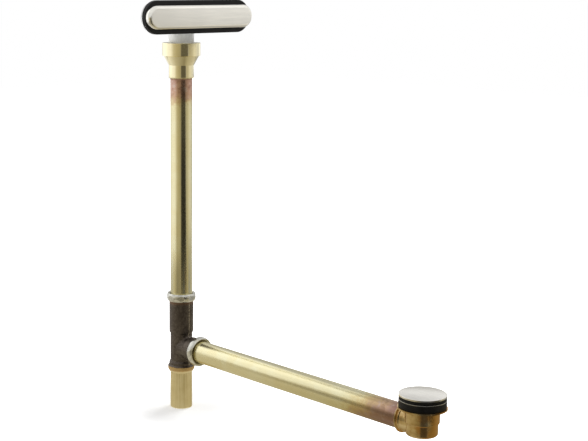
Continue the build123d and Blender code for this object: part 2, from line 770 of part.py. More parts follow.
# Drain gasket: thick rubber under the bath's floor, bevelled where it meets the shoe
gasket_base = shoe_flange_rise + seat_gap
with BuildPart() as drain_gasket:
    with BuildSketch(section_of(waste)):
        with BuildLine():
            Polyline(
                (floor_gasket_bore_r, gasket_base),
                (waste_r - floor_gasket_bevel / 2, gasket_base),
                (waste_r, gasket_base + floor_gasket_bevel),
                (waste_r, waste_rim_base - seat_gap),
                (floor_gasket_bore_r, waste_rim_base - seat_gap),
                close=True,
            )
        make_face()
    revolve(axis=axis_of(waste))
finish(drain_gasket, "drain_gasket")

# Waste flange: thin rim, dished mouth, threaded body, and crossbars that carry the cartridge's hub
with BuildPart() as drain_flange:
    with BuildSketch(section_of(waste)):
        with BuildLine():
            Polyline(
                (waste_bore_r, crossbar_base),
                (waste_thread_r, crossbar_base),
                (waste_thread_r, waste_rim_base - waste_neck_height),
                (waste_thread_r + waste_neck_reach, waste_rim_base),
                (waste_r, waste_rim_base),
                (waste_r, waste_rim_top),
                (waste_bore_r + waste_dish_reach, waste_rim_top),
                (waste_bore_r, waste_rim_top - waste_dish_depth),
                close=True,
            )
        make_face()
    revolve(axis=axis_of(waste))
    outer_edges = drain_flange.edges().filter_by(GeomType.CIRCLE).group_by(SortBy.RADIUS)[-1]
    rim_edge = outer_edges.sort_by(Axis.Z)[-1]
    fillet(rim_edge, waste_rim_round)
    with BuildSketch(waste.offset(crossbar_base)):
        with PolarLocations(0, crossbar_count):
            Rectangle(
                waste_bore_r + waste_thread_wall / 2, crossbar_width, align=(Align.MIN, Align.CENTER)
            )
        Circle(hub_r)
        Circle(hub_bore / 2, mode=Mode.SUBTRACT)
    extrude(amount=crossbar_height)
finish(drain_flange, "drain_flange")

# Toe-tap barrel: screwed into the hub, open upwards for the plunger, cross-drilled for the latch pin
barrel_seat = barrel_base + barrel_shoulder_height
latch_height = barrel_mouth - latch_pin_drop
latch_line = Plane(
    origin=(drain_reach, 0, drain_axis_height + latch_height), x_dir=(0, -1, 0), z_dir=(-1, 0, 0)
)
with BuildPart() as toe_tap_barrel:
    with BuildSketch(section_of(waste)):
        with BuildLine():
            Polyline(
                (0, crossbar_base),
                (hub_bore / 2 - thread_gap, crossbar_base),
                (hub_bore / 2 - thread_gap, barrel_base),
                (barrel_shoulder_r, barrel_base),
                (barrel_shoulder_r, barrel_seat),
                (barrel_od / 2, barrel_seat),
                (barrel_od / 2, barrel_mouth),
                (barrel_bore_r, barrel_mouth),
                (barrel_bore_r, barrel_base + barrel_floor),
                (0, barrel_base + barrel_floor),
                close=True,
            )
        make_face()
    revolve(axis=axis_of(waste))
    with BuildSketch(latch_line):
        Circle(latch_pin_diameter / 2 + seat_gap)
    extrude(amount=barrel_od, mode=Mode.SUBTRACT)
finish(toe_tap_barrel, "toe_tap_barrel")

# Latch pin: fixed in the barrel's wall, its tip in the plunger's track
pin_tip = plunger_r - latch_pin_reach
with BuildPart() as toe_tap_latch_pin:
    with BuildSketch(latch_line.offset(pin_tip)):
        Circle(latch_pin_diameter / 2)
    extrude(amount=barrel_od / 2 - pin_tip)
finish(toe_tap_latch_pin, "toe_tap_latch_pin")

# Plunger: hangs from the cap on its tenon, with a track for the latch pin along one side
track_top = latch_height + latch_pin_diameter / 2 + latch_track_gap
track_bottom = latch_height - stopper_lift - latch_pin_diameter / 2 - latch_track_gap
track_width = latch_pin_diameter + 2 * latch_track_gap
plunger_foot = barrel_base + barrel_floor + plunger_foot_gap
with BuildPart() as toe_tap_plunger:
    with BuildSketch(waste.offset(plunger_foot)):
        Circle(plunger_r)
    extrude(amount=plunger_top - plunger_foot)
    with BuildSketch(waste.offset(plunger_top)):
        Circle(plunger_tenon_r)
    extrude(amount=plunger_tenon_length)
    with BuildSketch(latch_line.offset(pin_tip - latch_track_gap)):
        with Locations((0, track_bottom - latch_height)):
            Rectangle(track_width, track_top - track_bottom, align=(Align.CENTER, Align.MIN))
    extrude(amount=plunger_r, mode=Mode.SUBTRACT)
finish(toe_tap_plunger, "toe_tap_plunger")

# Spring: wound round the barrel, from its shoulder to the pocket in the cap
spring_foot = barrel_seat + seat_gap + spring_wire / 2
spring_head = plunger_top + spring_pocket_depth - seat_gap - spring_wire / 2
spring_height = spring_head - spring_foot
with BuildPart() as toe_tap_spring:
    with BuildLine(waste.offset(spring_foot)) as coil:
        Helix(pitch=spring_height / spring_turns, height=spring_height, radius=spring_r)
    with BuildSketch(Plane(origin=coil.line @ 0, z_dir=coil.line % 0)):
        Circle(spring_wire / 2)
    sweep(path=coil.line, is_frenet=True)
finish(toe_tap_spring, "toe_tap_spring")

# Stopper seal: thick rubber that closes on the rim, its edge drawn in towards the foot
with BuildPart() as stopper_seal:
    with BuildSketch(section_of(waste)):
        with BuildLine():
            Polyline(
                (stopper_skirt_r + seat_gap, waste_rim_top + seat_gap),
                (waste_r - stopper_seal_lip_inset, waste_rim_top + seat_gap),
                (waste_r, waste_rim_top + seat_gap + stopper_seal_thickness / 2),
                (waste_r, stopper_seal_top),
                (stopper_skirt_r + seat_gap, stopper_seal_top),
                close=True,
            )
        make_face()
    revolve(axis=axis_of(waste))
finish(stopper_seal, "stopper_seal")

# Stopper cap: a low dome with a skirt that holds the seal and a boss for plunger and spring
cap_base = stopper_seal_top + seat_gap
cap_rim_top = cap_base + stopper_cap_edge
with BuildPart() as stopper_cap:
    with BuildSketch(section_of(waste)):
        with BuildLine():
            Polyline(
                (stopper_cap_r - stopper_cap_break, cap_rim_top),
                (stopper_cap_r, cap_rim_top - stopper_cap_break),
                (stopper_cap_r, cap_base),
                (stopper_skirt_r, cap_base),
                (stopper_skirt_r, cap_base - stopper_skirt_depth),
                (stopper_skirt_r - stopper_skirt_wall, cap_base - stopper_skirt_depth),
                (stopper_skirt_r - stopper_skirt_wall, cap_base),
                (stopper_boss_r, cap_base),
                (stopper_boss_r, cap_base - stopper_boss_depth),
                (spring_pocket_r, cap_base - stopper_boss_depth),
                (spring_pocket_r, plunger_top + spring_pocket_depth),
                (plunger_tenon_r + seat_gap, plunger_top + spring_pocket_depth),
                (plunger_tenon_r + seat_gap, plunger_top + plunger_tenon_length + seat_gap),
                (0, plunger_top + plunger_tenon_length + seat_gap),
                (0, cap_rim_top + stopper_cap_dome),
            )
            ThreePointArc(
                (0, cap_rim_top + stopper_cap_dome),
                (stopper_cap_r / 2, cap_rim_top + stopper_cap_dome * 3 / 4),
                (stopper_cap_r - stopper_cap_break, cap_rim_top),
            )
        make_face()
    revolve(axis=axis_of(waste))
finish(stopper_cap, "stopper_cap")
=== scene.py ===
# %% [markdown]
# # Bath waste and overflow
# The part is the plumbing behind and under a bath. A cast brass tee stands on its tailpiece. A
# brass riser goes up from it to the overflow head, and a brass drain tube goes along to the waste
# with its toe-tap stopper. The solids come packed and fixed. This file gives them their finishes,
# adds the casting's parting fin and the brazed seams, and sets up the floor, the light and the camera.

import math

import bmesh
import bpy
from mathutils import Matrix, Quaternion, Vector


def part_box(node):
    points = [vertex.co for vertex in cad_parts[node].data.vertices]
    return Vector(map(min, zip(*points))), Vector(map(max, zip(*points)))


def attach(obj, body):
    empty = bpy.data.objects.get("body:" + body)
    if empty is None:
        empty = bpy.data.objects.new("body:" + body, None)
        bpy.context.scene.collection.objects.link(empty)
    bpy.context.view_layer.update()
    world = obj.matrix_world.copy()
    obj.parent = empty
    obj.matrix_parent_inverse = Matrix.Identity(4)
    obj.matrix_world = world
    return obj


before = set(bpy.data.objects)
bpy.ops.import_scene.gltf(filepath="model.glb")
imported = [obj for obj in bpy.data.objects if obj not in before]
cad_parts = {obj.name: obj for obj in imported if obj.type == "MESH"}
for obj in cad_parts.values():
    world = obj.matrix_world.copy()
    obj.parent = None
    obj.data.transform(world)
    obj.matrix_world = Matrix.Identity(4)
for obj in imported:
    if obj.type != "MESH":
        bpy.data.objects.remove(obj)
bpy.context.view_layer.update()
node_box = {name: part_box(name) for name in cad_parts}

# %% [markdown]
# ## Camera
# The photograph was taken with a long lens from a little above the overflow head, at 45 degrees
# to both tubes. Its upright edges stay parallel, which a lens shift gives. A small shift, a slight
# tilt and a trace of roll come close to that and keep the part near the middle from other sides.

# %% Camera
CAMERA_PLACE = Vector((1.7018, -1.4471, 0.7397))
CAMERA_HEADING = math.radians(138.545)
CAMERA_TILT = math.radians(-9.071)
CAMERA_ROLL = math.radians(0.166)
CAMERA_LENS = 80.51
CAMERA_SHIFT = (0.15, -0.05)
CAMERA_REACH = 100

lens = bpy.data.cameras.new("camera")
lens.lens = CAMERA_LENS
lens.shift_x, lens.shift_y = CAMERA_SHIFT
lens.clip_end = CAMERA_REACH
camera = bpy.data.objects.new("camera", lens)
bpy.context.scene.collection.objects.link(camera)
looking = Vector((
    math.cos(CAMERA_HEADING) * math.cos(CAMERA_TILT),
    math.sin(CAMERA_HEADING) * math.cos(CAMERA_TILT),
    math.sin(CAMERA_TILT),
))
camera.location = CAMERA_PLACE
rolled = looking.to_track_quat("-Z", "Y") @ Quaternion((0, 0, 1), CAMERA_ROLL)
camera.rotation_euler = rolled.to_euler()
bpy.context.scene.camera = camera
bpy.context.scene.view_settings.view_transform = "Standard"
print("camera", tuple(round(x, 3) for x in camera.location), "lens", CAMERA_LENS)

# %% [markdown]
# ## Wires
# A finish is a small sum: a base colour, plus some grime, less some polish. Node trees hide that
# sum, so a wire stands for one socket, and arithmetic on wires adds the Math nodes. Every other
# node comes from one method, which sets the node up first and then feeds its sockets.

# %% Wires
class Wire:
    """One socket of a node tree. Arithmetic on wires adds Math nodes."""

    def __init__(self, tree, socket=None):
        self.tree = tree
        self.socket = socket

    def node(self, kind, settings=None, sockets=None, out=0):
        """Add a node: its settings first, then the values or links of its sockets."""
        made = self.tree.nodes.new("ShaderNode" + kind)
        for name, value in (settings or {}).items():
            if name == "stops":
                stops = made.color_ramp.elements
                stops.remove(stops[1])
                stops[0].position, stops[0].color = value[0]
                for position, colour in value[1:]:
                    stops.new(position).color = colour
            else:
                setattr(made, name, value)
        for name, value in (sockets or {}).items():
            self.feed(made.inputs[name], value)
        return Wire(self.tree, made.outputs[out])

    def feed(self, socket, value):
        """Link a wire to a socket, or set the socket to a plain value."""
        if isinstance(value, Wire):
            self.tree.links.new(value.socket, socket)
        else:
            socket.default_value = value

    def math(self, operation, *values):
        return self.node("Math", {"operation": operation}, dict(enumerate(values)))

    def __add__(self, other):
        return self.math("ADD", self, other)

    def __sub__(self, other):
        return self.math("SUBTRACT", self, other)

    def __rsub__(self, other):
        return self.math("SUBTRACT", other, self)

    def __mul__(self, other):
        return self.math("MULTIPLY", self, other)

    def __abs__(self):
        return self.math("ABSOLUTE", self)

    __radd__ = __add__
    __rmul__ = __mul__


print("wires ready")

# %% [markdown]
# ## Light paths
# The photograph's background is pure white, and its shadow is faint. A white that only the
# camera sees would leave the metal reflecting something else, so the world and the floor show
# white to the camera, to reflections and to glass, and light the part at a plainer level.

# %% World
AMBIENT = 0.50


def seen(wire):
    """1 for a ray from the camera, from a reflection or through glass, and 0 for scattered light."""
    def ray(name):
        return wire.node("LightPath", out=name)
    return wire.math("MAXIMUM", wire.math("MAXIMUM", ray("Is Camera Ray"), ray("Is Glossy Ray")),
                     ray("Is Transmission Ray"))


world = bpy.data.worlds.new("studio")
world.use_nodes = True
bpy.context.scene.world = world
sky = Wire(world.node_tree)
background = world.node_tree.nodes["Background"]
background.inputs["Color"].default_value = (1, 1, 1, 1)
sky.feed(background.inputs["Strength"], AMBIENT + (1 - AMBIENT) * seen(sky))
print("world lights at", AMBIENT)

# %% [markdown]
# ## Floor
# The part stands on its tailpiece on a white sweep. The floor is one large sheet. Close to the
# part some of its white is real, lit paint, so that it takes a soft shadow there, and further out
# it goes over into the white of the world, so that no edge shows. From below it is clear.

# %% Floor
FLOOR_SIZE = 12.0
FLOOR_DROP = 0.0004
FLOOR_PAINT = 0.9
FLOOR_GLOW = 0.20
GLOW_STRENGTH = 2.12
PAINT_R = (0.05, 0.25)


def sheet_mesh(name, points, faces):
    """A thin sheet of faces, as a stage object."""
    mesh = bpy.data.meshes.new(name)
    mesh.from_pydata(points, [], faces)
    made = bpy.data.objects.new(name, mesh)
    bpy.context.scene.collection.objects.link(made)
    return made


half = FLOOR_SIZE / 2
floor_plan = ((-half, -half), (half, -half), (half, half), (-half, half))
floor = sheet_mesh("floor", [(x, y, -FLOOR_DROP) for x, y in floor_plan], [(0, 1, 2, 3)])
floor_paint = bpy.data.materials.new("floor_paint")
floor_paint.use_nodes = True
paint = Wire(floor_paint.node_tree)
spot = paint.node("TexCoord", out="Object")
away = paint.node("VectorMath", {"operation": "LENGTH"}, {0: spot}, out="Value")
far = paint.node("MapRange", {"interpolation_type": "SMOOTHSTEP"}, {
    "Value": away, "From Min": PAINT_R[0], "From Max": PAINT_R[1], "To Min": FLOOR_GLOW, "To Max": 1.0})
matt = paint.node("BsdfDiffuse", sockets={"Color": (FLOOR_PAINT, FLOOR_PAINT, FLOOR_PAINT, 1)})
glow = paint.node("Emission", sockets={"Color": (1, 1, 1, 1), "Strength": GLOW_STRENGTH})
surface = paint.node("MixShader", sockets={0: far * seen(paint), 1: matt, 2: glow})
below = paint.node("NewGeometry", out="Backfacing")
surface = paint.node("MixShader", sockets={0: below, 1: surface, 2: paint.node("BsdfTransparent")})
paint.feed(floor_paint.node_tree.nodes["Material Output"].inputs["Surface"], surface)
floor.data.materials.append(floor_paint)
print("floor", FLOOR_SIZE, "m wide")

# %% [markdown]
# ## Cards
# Polished tube is a mirror, and it shows the studio round it. One bright lamp would give one thin
# highlight, but the tubes show broad soft bands: white from the left, brown nearer the camera, a
# black stripe from a flag to its right, grey beyond. Bent cards round the part give those bands.
# Only reflections see them. A card lies between two edges, and its level runs along them. Rows of
# (bearing or place, level, warmth) say how, with bearings in degrees round the riser from +X.

# %% Cards
CARD_STEPS = 72
CARD_HIDDEN_FROM = ("camera", "diffuse", "transmission", "shadow", "volume_scatter")
WARM_GREEN = 0.10
WARM_BLUE = 0.36
ALL_ROUND = (-180, 180)
RISER = (0.0, 0.0)


def arc(radius, height, first, last, centre=RISER):
    """Points on a level arc between two bearings."""
    bearings = [math.radians(first + (last - first) * i / CARD_STEPS) for i in range(CARD_STEPS + 1)]
    return [(centre[0] + radius * math.cos(b), centre[1] + radius * math.sin(b), height) for b in bearings]


def card(name, low, high, span, levels):
    """A card between two edges of points. Its level follows the rows along the span."""
    row = len(low)
    made = sheet_mesh(name, low + high, [(i, i + 1, row + i + 1, row + i) for i in range(row - 1)])
    for kind in CARD_HIDDEN_FROM:
        setattr(made, "visible_" + kind, False)
    layer = made.data.uv_layers.new(name="along")
    for loop, spot in zip(made.data.loops, layer.data):
        spot.uv = (loop.vertex_index % row / (row - 1), loop.vertex_index // row)
    stops = [((at - span[0]) / (span[1] - span[0]),
              (level, level * (1 - WARM_GREEN * warmth), level * (1 - WARM_BLUE * warmth), 1))
             for at, level, warmth in levels]
    material = bpy.data.materials.new(name)
    material.use_nodes = True
    wire = Wire(material.node_tree)
    along = wire.node("SeparateXYZ", sockets={0: wire.node("TexCoord", out="UV")})
    colour = wire.node("ValToRGB", {"stops": stops}, {"Fac": along})
    light = wire.node("Emission", sockets={"Color": colour, "Strength": 1.0})
    wire.feed(material.node_tree.nodes["Material Output"].inputs["Surface"], light)
    made.data.materials.append(material)


def upright(name, radius, heights, span, *levels):
    """A card that stands on an arc."""
    card(name, arc(radius, heights[0], *span), arc(radius, heights[1], *span), span, levels)


def level_ring(name, height, radii, span, *levels):
    """A card that lies level between two arcs."""
    card(name, arc(radii[0], height, *span), arc(radii[1], height, *span), span, levels)


def panel(name, span, near, far, *levels):
    """A flat card between two edges along x, each at its (y, z)."""
    card(name, [(x, *near) for x in span], [(x, *far) for x in span], span, levels)


print("cards show on", CARD_STEPS, "steps")

# %% [markdown]
# ## Wall, roof and table
# A round wall, a sloping roof and a table make up the room that the metal shows. The white is at the
# left and behind, and the brown in front, where the photograph's tubes are brown. One plain dome
# would be simpler, but the upright tube sees the wall and the lying one sees the table and the roof.

# %% Wall, roof and table
WALL_R = 1.25
WALL_FOOT = 0.003
WALL_TOP = 0.75
ROOF_R = 0.75
ROOF_HEIGHT = 1.35
ROOF_TIP = (0.01, 1.40)
TABLE_R = 0.62
TABLE_Z = 0.001
RIM_Z = 0.0015

upright("wall", WALL_R, (WALL_FOOT, WALL_TOP), ALL_ROUND,
        (-180, 0.88, 0), (-150, 1.02, 0), (-122, 1.04, 0), (-106, 0.99, 0.2), (-87, 0.60, 0.9),
        (-68, 0.46, 1.2), (-46, 0.37, 1.2), (16, 0.50, 0.9), (28, 0.58, 0.7), (36, 0.72, 0.6),
        (45, 0.80, 0.5), (75, 0.70, 0), (110, 0.76, 0), (140, 0.98, 0), (180, 0.88, 0))
card("roof", arc(WALL_R, WALL_TOP, *ALL_ROUND), arc(ROOF_R, ROOF_HEIGHT, *ALL_ROUND), ALL_ROUND, (
    (-180, 1.40, 0), (-152, 1.35, 0), (-135, 1.10, 0), (-110, 0.75, 0), (20, 0.80, 0), (40, 1.05, 0),
    (60, 1.00, 0), (95, 0.84, 0), (118, 0.50, 0), (140, 0.50, 0), (153, 0.95, 0), (168, 1.35, 0),
    (180, 1.40, 0)))
card("roof_middle", arc(ROOF_R, ROOF_HEIGHT, *ALL_ROUND), arc(*ROOF_TIP, *ALL_ROUND), ALL_ROUND,
     ((-180, 0.85, 0), (180, 0.85, 0)))
panel("table", (-TABLE_R, TABLE_R), (-TABLE_R, TABLE_Z), (TABLE_R, TABLE_Z),
      (-0.62, 0.92, 0.1), (-0.42, 0.84, 0.2), (-0.22, 0.62, 0.7), (0.05, 0.60, 0.8), (0.35, 0.44, 1.2),
      (0.62, 0.44, 1.2))
level_ring("table_rim", RIM_Z, (TABLE_R, WALL_R), ALL_ROUND,
           (-180, 0.60, 0.2), (-139, 0.52, 0.3), (-111, 0.41, 0.4), (-90, 0.23, 0.8), (-66, 0.30, 1),
           (-47, 0.34, 1.2), (14, 0.35, 1.6), (32, 0.42, 1.2), (46, 0.47, 0.8), (140, 0.46, 0.2),
           (180, 0.60, 0.2))
print("wall", WALL_R, "m and roof", ROOF_HEIGHT, "m away")

# %% [markdown]
# ## Lights and shades for single pieces
# Some pieces show a light or a shade that the others don't: the cover and the cap are lit from behind
# the part, the collar from the left, and the drain tube's side is dark from a step before it. Each
# has a card in its own line of sight, a little inside the wall. More lamps would light everything,
# while a card shows only where it is reflected. A small ring under the collar's cone gives the cone
# its slow change from white to brown.

# %% Lights and shades for single pieces
LIGHT_R = 1.24
SKIRT_TOP = 0.07
CAP_LIGHT_FOOT = 0.52
COLLAR_LIGHT_FOOT = 0.49
COVER_LIGHT_FOOT = 0.655
SHADE_R = 1.235
SHADE_Z = (0.10, 0.50)
BAND_R = 0.93
BAND_FOOT = 0.595
STEP_X = (-0.36, 0.36)
STEP_Y = -0.40
STEP_TOP = 0.18
STEP_BACK_X = (-0.05, 0.36)
STEP_BACK_TOP = 0.29
COVER_FLOOR_X = (0.30, 0.85)
COVER_FLOOR_Y = (0.45, 1.00)
COVER_FLOOR_Z = 0.002
CONE_RING_R = (0.0215, 0.075)
CONE_RING_Z = node_box["overflow_collar"][0].z - 0.003

upright("skirt", LIGHT_R, (TABLE_Z, SKIRT_TOP), (12, 100),
        (12, 0.35, 1.4), (32, 0.42, 1.1), (46, 0.48, 0.7), (100, 0.46, 0.2))
panel("step", STEP_X, (STEP_Y, TABLE_Z), (STEP_Y, STEP_TOP),
      (-0.36, 0.62, 0.7), (-0.22, 0.60, 0.8), (-0.14, 0.46, 0.9), (-0.06, 0.42, 1), (0.02, 0.26, 0.9),
      (0.36, 0.30, 1))
panel("step_top", STEP_BACK_X, (STEP_Y, STEP_TOP), (STEP_Y, STEP_BACK_TOP),
      (-0.05, 0.80, 0.5), (0.0, 0.47, 1), (0.36, 0.47, 1))
upright("back_shade", SHADE_R, SHADE_Z, (96, 142), (96, 0.42, 0.3), (142, 0.42, 0.3))
panel("cover_floor", COVER_FLOOR_X, (COVER_FLOOR_Y[0], COVER_FLOOR_Z), (COVER_FLOOR_Y[1], COVER_FLOOR_Z),
      (0.30, 0.34, 0), (0.85, 0.34, 0))
upright("cap_light", LIGHT_R, (CAP_LIGHT_FOOT, WALL_TOP), (90, 142),
        (90, 1.06, 0), (120, 1.08, 0), (127, 0.42, 0.3), (142, 0.42, 0.3))
upright("collar_light", LIGHT_R, (COLLAR_LIGHT_FOOT, WALL_TOP), (-180, -126),
        (-180, 1.30, 0), (-150, 1.32, 0), (-126, 1.08, 0))
upright("cover_light", LIGHT_R, (COVER_LIGHT_FOOT, WALL_TOP), (26, 64),
        (26, 0.80, 0), (40, 1.08, 0), (64, 1.08, 0))
upright("band", BAND_R, (BAND_FOOT, COVER_LIGHT_FOOT), (18, 58), (18, 0.28, 0), (58, 0.34, 0))
level_ring("cone_ring", CONE_RING_Z, CONE_RING_R, ALL_ROUND,
           (-180, 0.70, 0.2), (-135, 0.85, 0.2), (-80, 0.50, 0.9), (-20, 0.28, 1.2), (5, 0.46, 1),
           (80, 0.65, 0.5), (180, 0.70, 0.2))
print("ring under the cone at", round(CONE_RING_Z, 4))

# %% [markdown]
# ## Flags
# The black stripe down the riser and the collar is a dark flag between the camera and the drain run.
# It gets browner with height. A mat carries it on over the table, where the riser's foot looks down,
# and a smaller mat does the same for the shoe, whose other side shows a lit patch of the table. A
# stripe painted on the tube would stay put when the view changes, and a reflected one moves with it.

# %% Flags
flange_low, flange_high = node_box["drain_flange"]
WASTE = ((flange_low.x + flange_high.x) / 2, (flange_low.y + flange_high.y) / 2)
FLAG_R = 1.2
FLAG_TOP = 0.32
FLAG_DIM_TOP = 0.48
FLAG_HEAD_TOP = 0.73
FLAG_END_R = 1.19
FLAG_END_Z = (0.588, 0.74)
MAT_R = 0.90
MAT_NEAR_R = 0.80
MAT_Z = 0.002
WASTE_MAT_R = (0.17, 0.60)
WASTE_MAT_Z = 0.0025
WASTE_GLOW_R = (0.02, 0.19)
WASTE_GLOW_Z = 0.0028
FLAG_EDGE = (0.36, 1)
FLAG_FAR_EDGE = (0.55, 0.4)
FLAG_DARK = (0.018, 0.5)
FLAG_SOFT = (0.085, 0)
FLAG_DIM = (0.055, 1)
FLAG_BROWN = (0.12, 1)
FLAG_GREY = (0.12, 0)


def flag(name, low, high, soft, tone, centre=RISER):
    """A dark card with soft sides between two arcs, each (radius, height, first, last)."""
    first, last = low[2:]
    levels = ((first, *FLAG_EDGE), (first + soft, *tone), (last - soft, *tone), (last, *FLAG_FAR_EDGE))
    card(name, arc(*low, centre), arc(*high, centre), (first, last), levels)


flag("flag", (FLAG_R, WALL_FOOT, -47, 17), (FLAG_R, FLAG_TOP, -46, 8), soft=7, tone=FLAG_DARK)
flag("flag_top", (FLAG_R, FLAG_TOP, -46, 8), (FLAG_R, FLAG_DIM_TOP, -45, 6), soft=6, tone=FLAG_DIM)
flag("flag_head", (FLAG_R, FLAG_DIM_TOP, -45, 4), (FLAG_R, FLAG_HEAD_TOP, -45, 1), soft=5,
     tone=FLAG_BROWN)
flag("flag_end", (FLAG_END_R, FLAG_END_Z[0], -6, 32), (FLAG_END_R, FLAG_END_Z[1], -6, 32), soft=4,
     tone=FLAG_GREY)
flag("mat", (MAT_R, MAT_Z, -47, 22), (FLAG_R, MAT_Z, -47, 20), soft=7, tone=FLAG_DARK)
flag("mat_near", (MAT_NEAR_R, MAT_Z, -47, -8), (MAT_R, MAT_Z, -47, 4), soft=5, tone=FLAG_DARK)
flag("waste_mat", (WASTE_MAT_R[0], WASTE_MAT_Z, -66, -8), (WASTE_MAT_R[1], WASTE_MAT_Z, -64, -10),
     soft=5, tone=FLAG_SOFT, centre=WASTE)
card("waste_glow", arc(WASTE_GLOW_R[0], WASTE_GLOW_Z, -165, -66, WASTE),
     arc(WASTE_GLOW_R[1], WASTE_GLOW_Z, -165, -68, WASTE), (-165, -66),
     ((-165, 0.46, 0.9), (-140, 0.58, 0.6), (-100, 0.62, 0.5), (-76, 0.60, 0.6), (-66, 0.40, 1)))
print("flags up, waste at", [round(x, 4) for x in WASTE])

# %% [markdown]
# ## Lamps
# Two large soft lamps light the matt surfaces and cast the faint shadow. The metal shows the cards
# instead of the lamps, because a lamp's own reflection would burn a white line into each edge.

# %% Lamps
def soft_lamp(name, place, target, width, watts):
    """A large square lamp at a place, facing a target, that reflections don't see."""
    light = bpy.data.lights.new(name, "AREA")
    light.size = width
    light.energy = watts
    made = bpy.data.objects.new(name, light)
    bpy.context.scene.collection.objects.link(made)
    made.location = place
    made.rotation_euler = (Vector(target) - Vector(place)).to_track_quat("-Z", "Y").to_euler()
    made.visible_glossy = False


soft_lamp("key", place=(-0.25, 1.6, 1.8), target=(0, 0, 0), width=0.95, watts=26)
soft_lamp("left", place=(-1.5, -1.2, 0.25), target=(0, 0, 0.6), width=0.8, watts=21)
print("lamps ready")

# %% [markdown]
# ## Making small pieces
# The casting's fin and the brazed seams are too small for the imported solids, so they are added
# here as their own meshes. Each is a profile carried along a path. A curve with a bevel would do
# for a round bead, but these profiles are hollow or flat, so the sections are joined face by face.

# %% Making small pieces
SMOOTH_UP_TO = math.radians(35)


def loft(skin, sections, loop):
    """Join equal sections of points into a closed skin. A loop joins its last section to the first."""
    rings = [[skin.verts.new(point) for point in section] for section in sections]
    for near, far in zip(rings, rings[1:] + (rings[:1] if loop else [])):
        for i, point in enumerate(near):
            j = (i + 1) % len(near)
            skin.faces.new((point, near[j], far[j], far[i]))
    if not loop:
        skin.faces.new(rings[0])
        skin.faces.new(rings[-1])


def piece(name, skin, body):
    """Turn a skin into a smooth piece that rides on a body."""
    bmesh.ops.recalc_face_normals(skin, faces=skin.faces[:])
    mesh = bpy.data.meshes.new(name)
    skin.to_mesh(mesh)
    skin.free()
    mesh.shade_smooth()
    mesh.set_sharp_from_angle(angle=SMOOTH_UP_TO)
    made = bpy.data.objects.new(name, mesh)
    bpy.context.scene.collection.objects.link(made)
    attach(made, body)
    print(name, "has", len(mesh.polygons), "faces and rides on", body)
    return made


print("loft and piece ready")

# %% [markdown]
# ## Parting fin
# The tee was cast in two halves of a sand mould, and where they met, metal crept between them. The
# fin was ground down, and a low flat line is left round the casting. It lies in the plane of
# both tubes. Cutting a copy of the tee with that plane gives the line's path, and keeping only the
# cuts that face outward leaves the bores clean.

# %% Parting fin
FIN_PROFILE = ((-0.0011, -0.0003), (-0.0006, 0.0006), (0.0006, 0.0006), (0.0011, -0.0003))
WELD = 0.00001
FACES_OUT = 0.3

tee_foot = node_box["tee"][0].z
nut_foot = node_box["overflow_slip_nut"][0].z
branch_end = node_box["drain_slip_nut"][0].x
branch_z = (node_box["drain_tube"][0].z + node_box["drain_tube"][1].z) / 2
SKIN_FOOT = tee_foot + 0.0142
BARREL_SIDE = 0.0215


def faces_out(place, normal):
    """Whether a cut lies on the outside of the barrel or of the branch."""
    if place.x > BARREL_SIDE:
        return normal.z * math.copysign(1, place.z - branch_z) > FACES_OUT
    return normal.x * math.copysign(1, place.x) > FACES_OUT


def cut_edges(node):
    """The outer edges where the plane y = 0 cuts a node, with the skin's normal at each."""
    cut = bmesh.new()
    cut.from_mesh(node.data)
    bmesh.ops.remove_doubles(cut, verts=cut.verts[:], dist=WELD)
    every = cut.verts[:] + cut.edges[:] + cut.faces[:]
    found = bmesh.ops.bisect_plane(cut, geom=every, dist=WELD, plane_co=(0, 0, 0), plane_no=(0, 1, 0))
    kept = []
    for edge in found["geom_cut"]:
        if isinstance(edge, bmesh.types.BMEdge) and edge.link_faces:
            normal = sum((face.normal for face in edge.link_faces), Vector()).normalized()
            middle = (edge.verts[0].co + edge.verts[1].co) / 2
            if SKIN_FOOT < middle.z < nut_foot and middle.x < branch_end and faces_out(middle, normal):
                kept.append((tuple(round(v / WELD) for v in edge.verts[0].co),
                             tuple(round(v / WELD) for v in edge.verts[1].co), normal))
    cut.free()
    return kept


def runs(edges):
    """Chain edges into runs of (point, normal)."""
    ends = {}
    for a, b, normal in edges:
        ends.setdefault(a, []).append((b, normal))
        ends.setdefault(b, []).append((a, normal))
    left = sorted(ends, key=lambda point: (len(ends[point]), point))
    done = set()
    for start in left:
        run, here = [], start
        while here is not None and here not in done:
            done.add(here)
            normal = sum((n for _, n in ends[here]), Vector()).normalized()
            run.append((Vector(here) * WELD, normal))
            here = next((there for there, _ in ends[here] if there not in done), None)
        if len(run) > 1:
            yield run


fin_skin = bmesh.new()
for run in runs(cut_edges(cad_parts["tee"])):
    loft(fin_skin, [[place + Vector((0, across, 0)) + normal * rise for across, rise in FIN_PROFILE]
                    for place, normal in run], loop=False)
parting_fin = piece("parting_fin", fin_skin, "tee_group")

# %% [markdown]
# ## Brazed seams
# Three sockets are brazed: the collar on the riser, the shoe on the drain tube, and the tee on its
# tailpiece. The molten filler ran into each corner and set as a small hollow ring. A round bead
# would look welded, so the ring's section is a hollow arc, and its width wavers a little.

# %% Brazed seams
X, Y, Z = range(3)
SEAM_POINTS = 96
SEAM_ARC = 5
SEAM_SINK = 0.00025
SEAM_WAVES = ((0.16, 3, 0.7), (0.10, 7, 0.0))
SEAM_WIDTH = 0.0012
TEE_SEAM_WIDTH = 0.0006
tube_r = (node_box["overflow_tube"][1].x - node_box["overflow_tube"][0].x) / 2


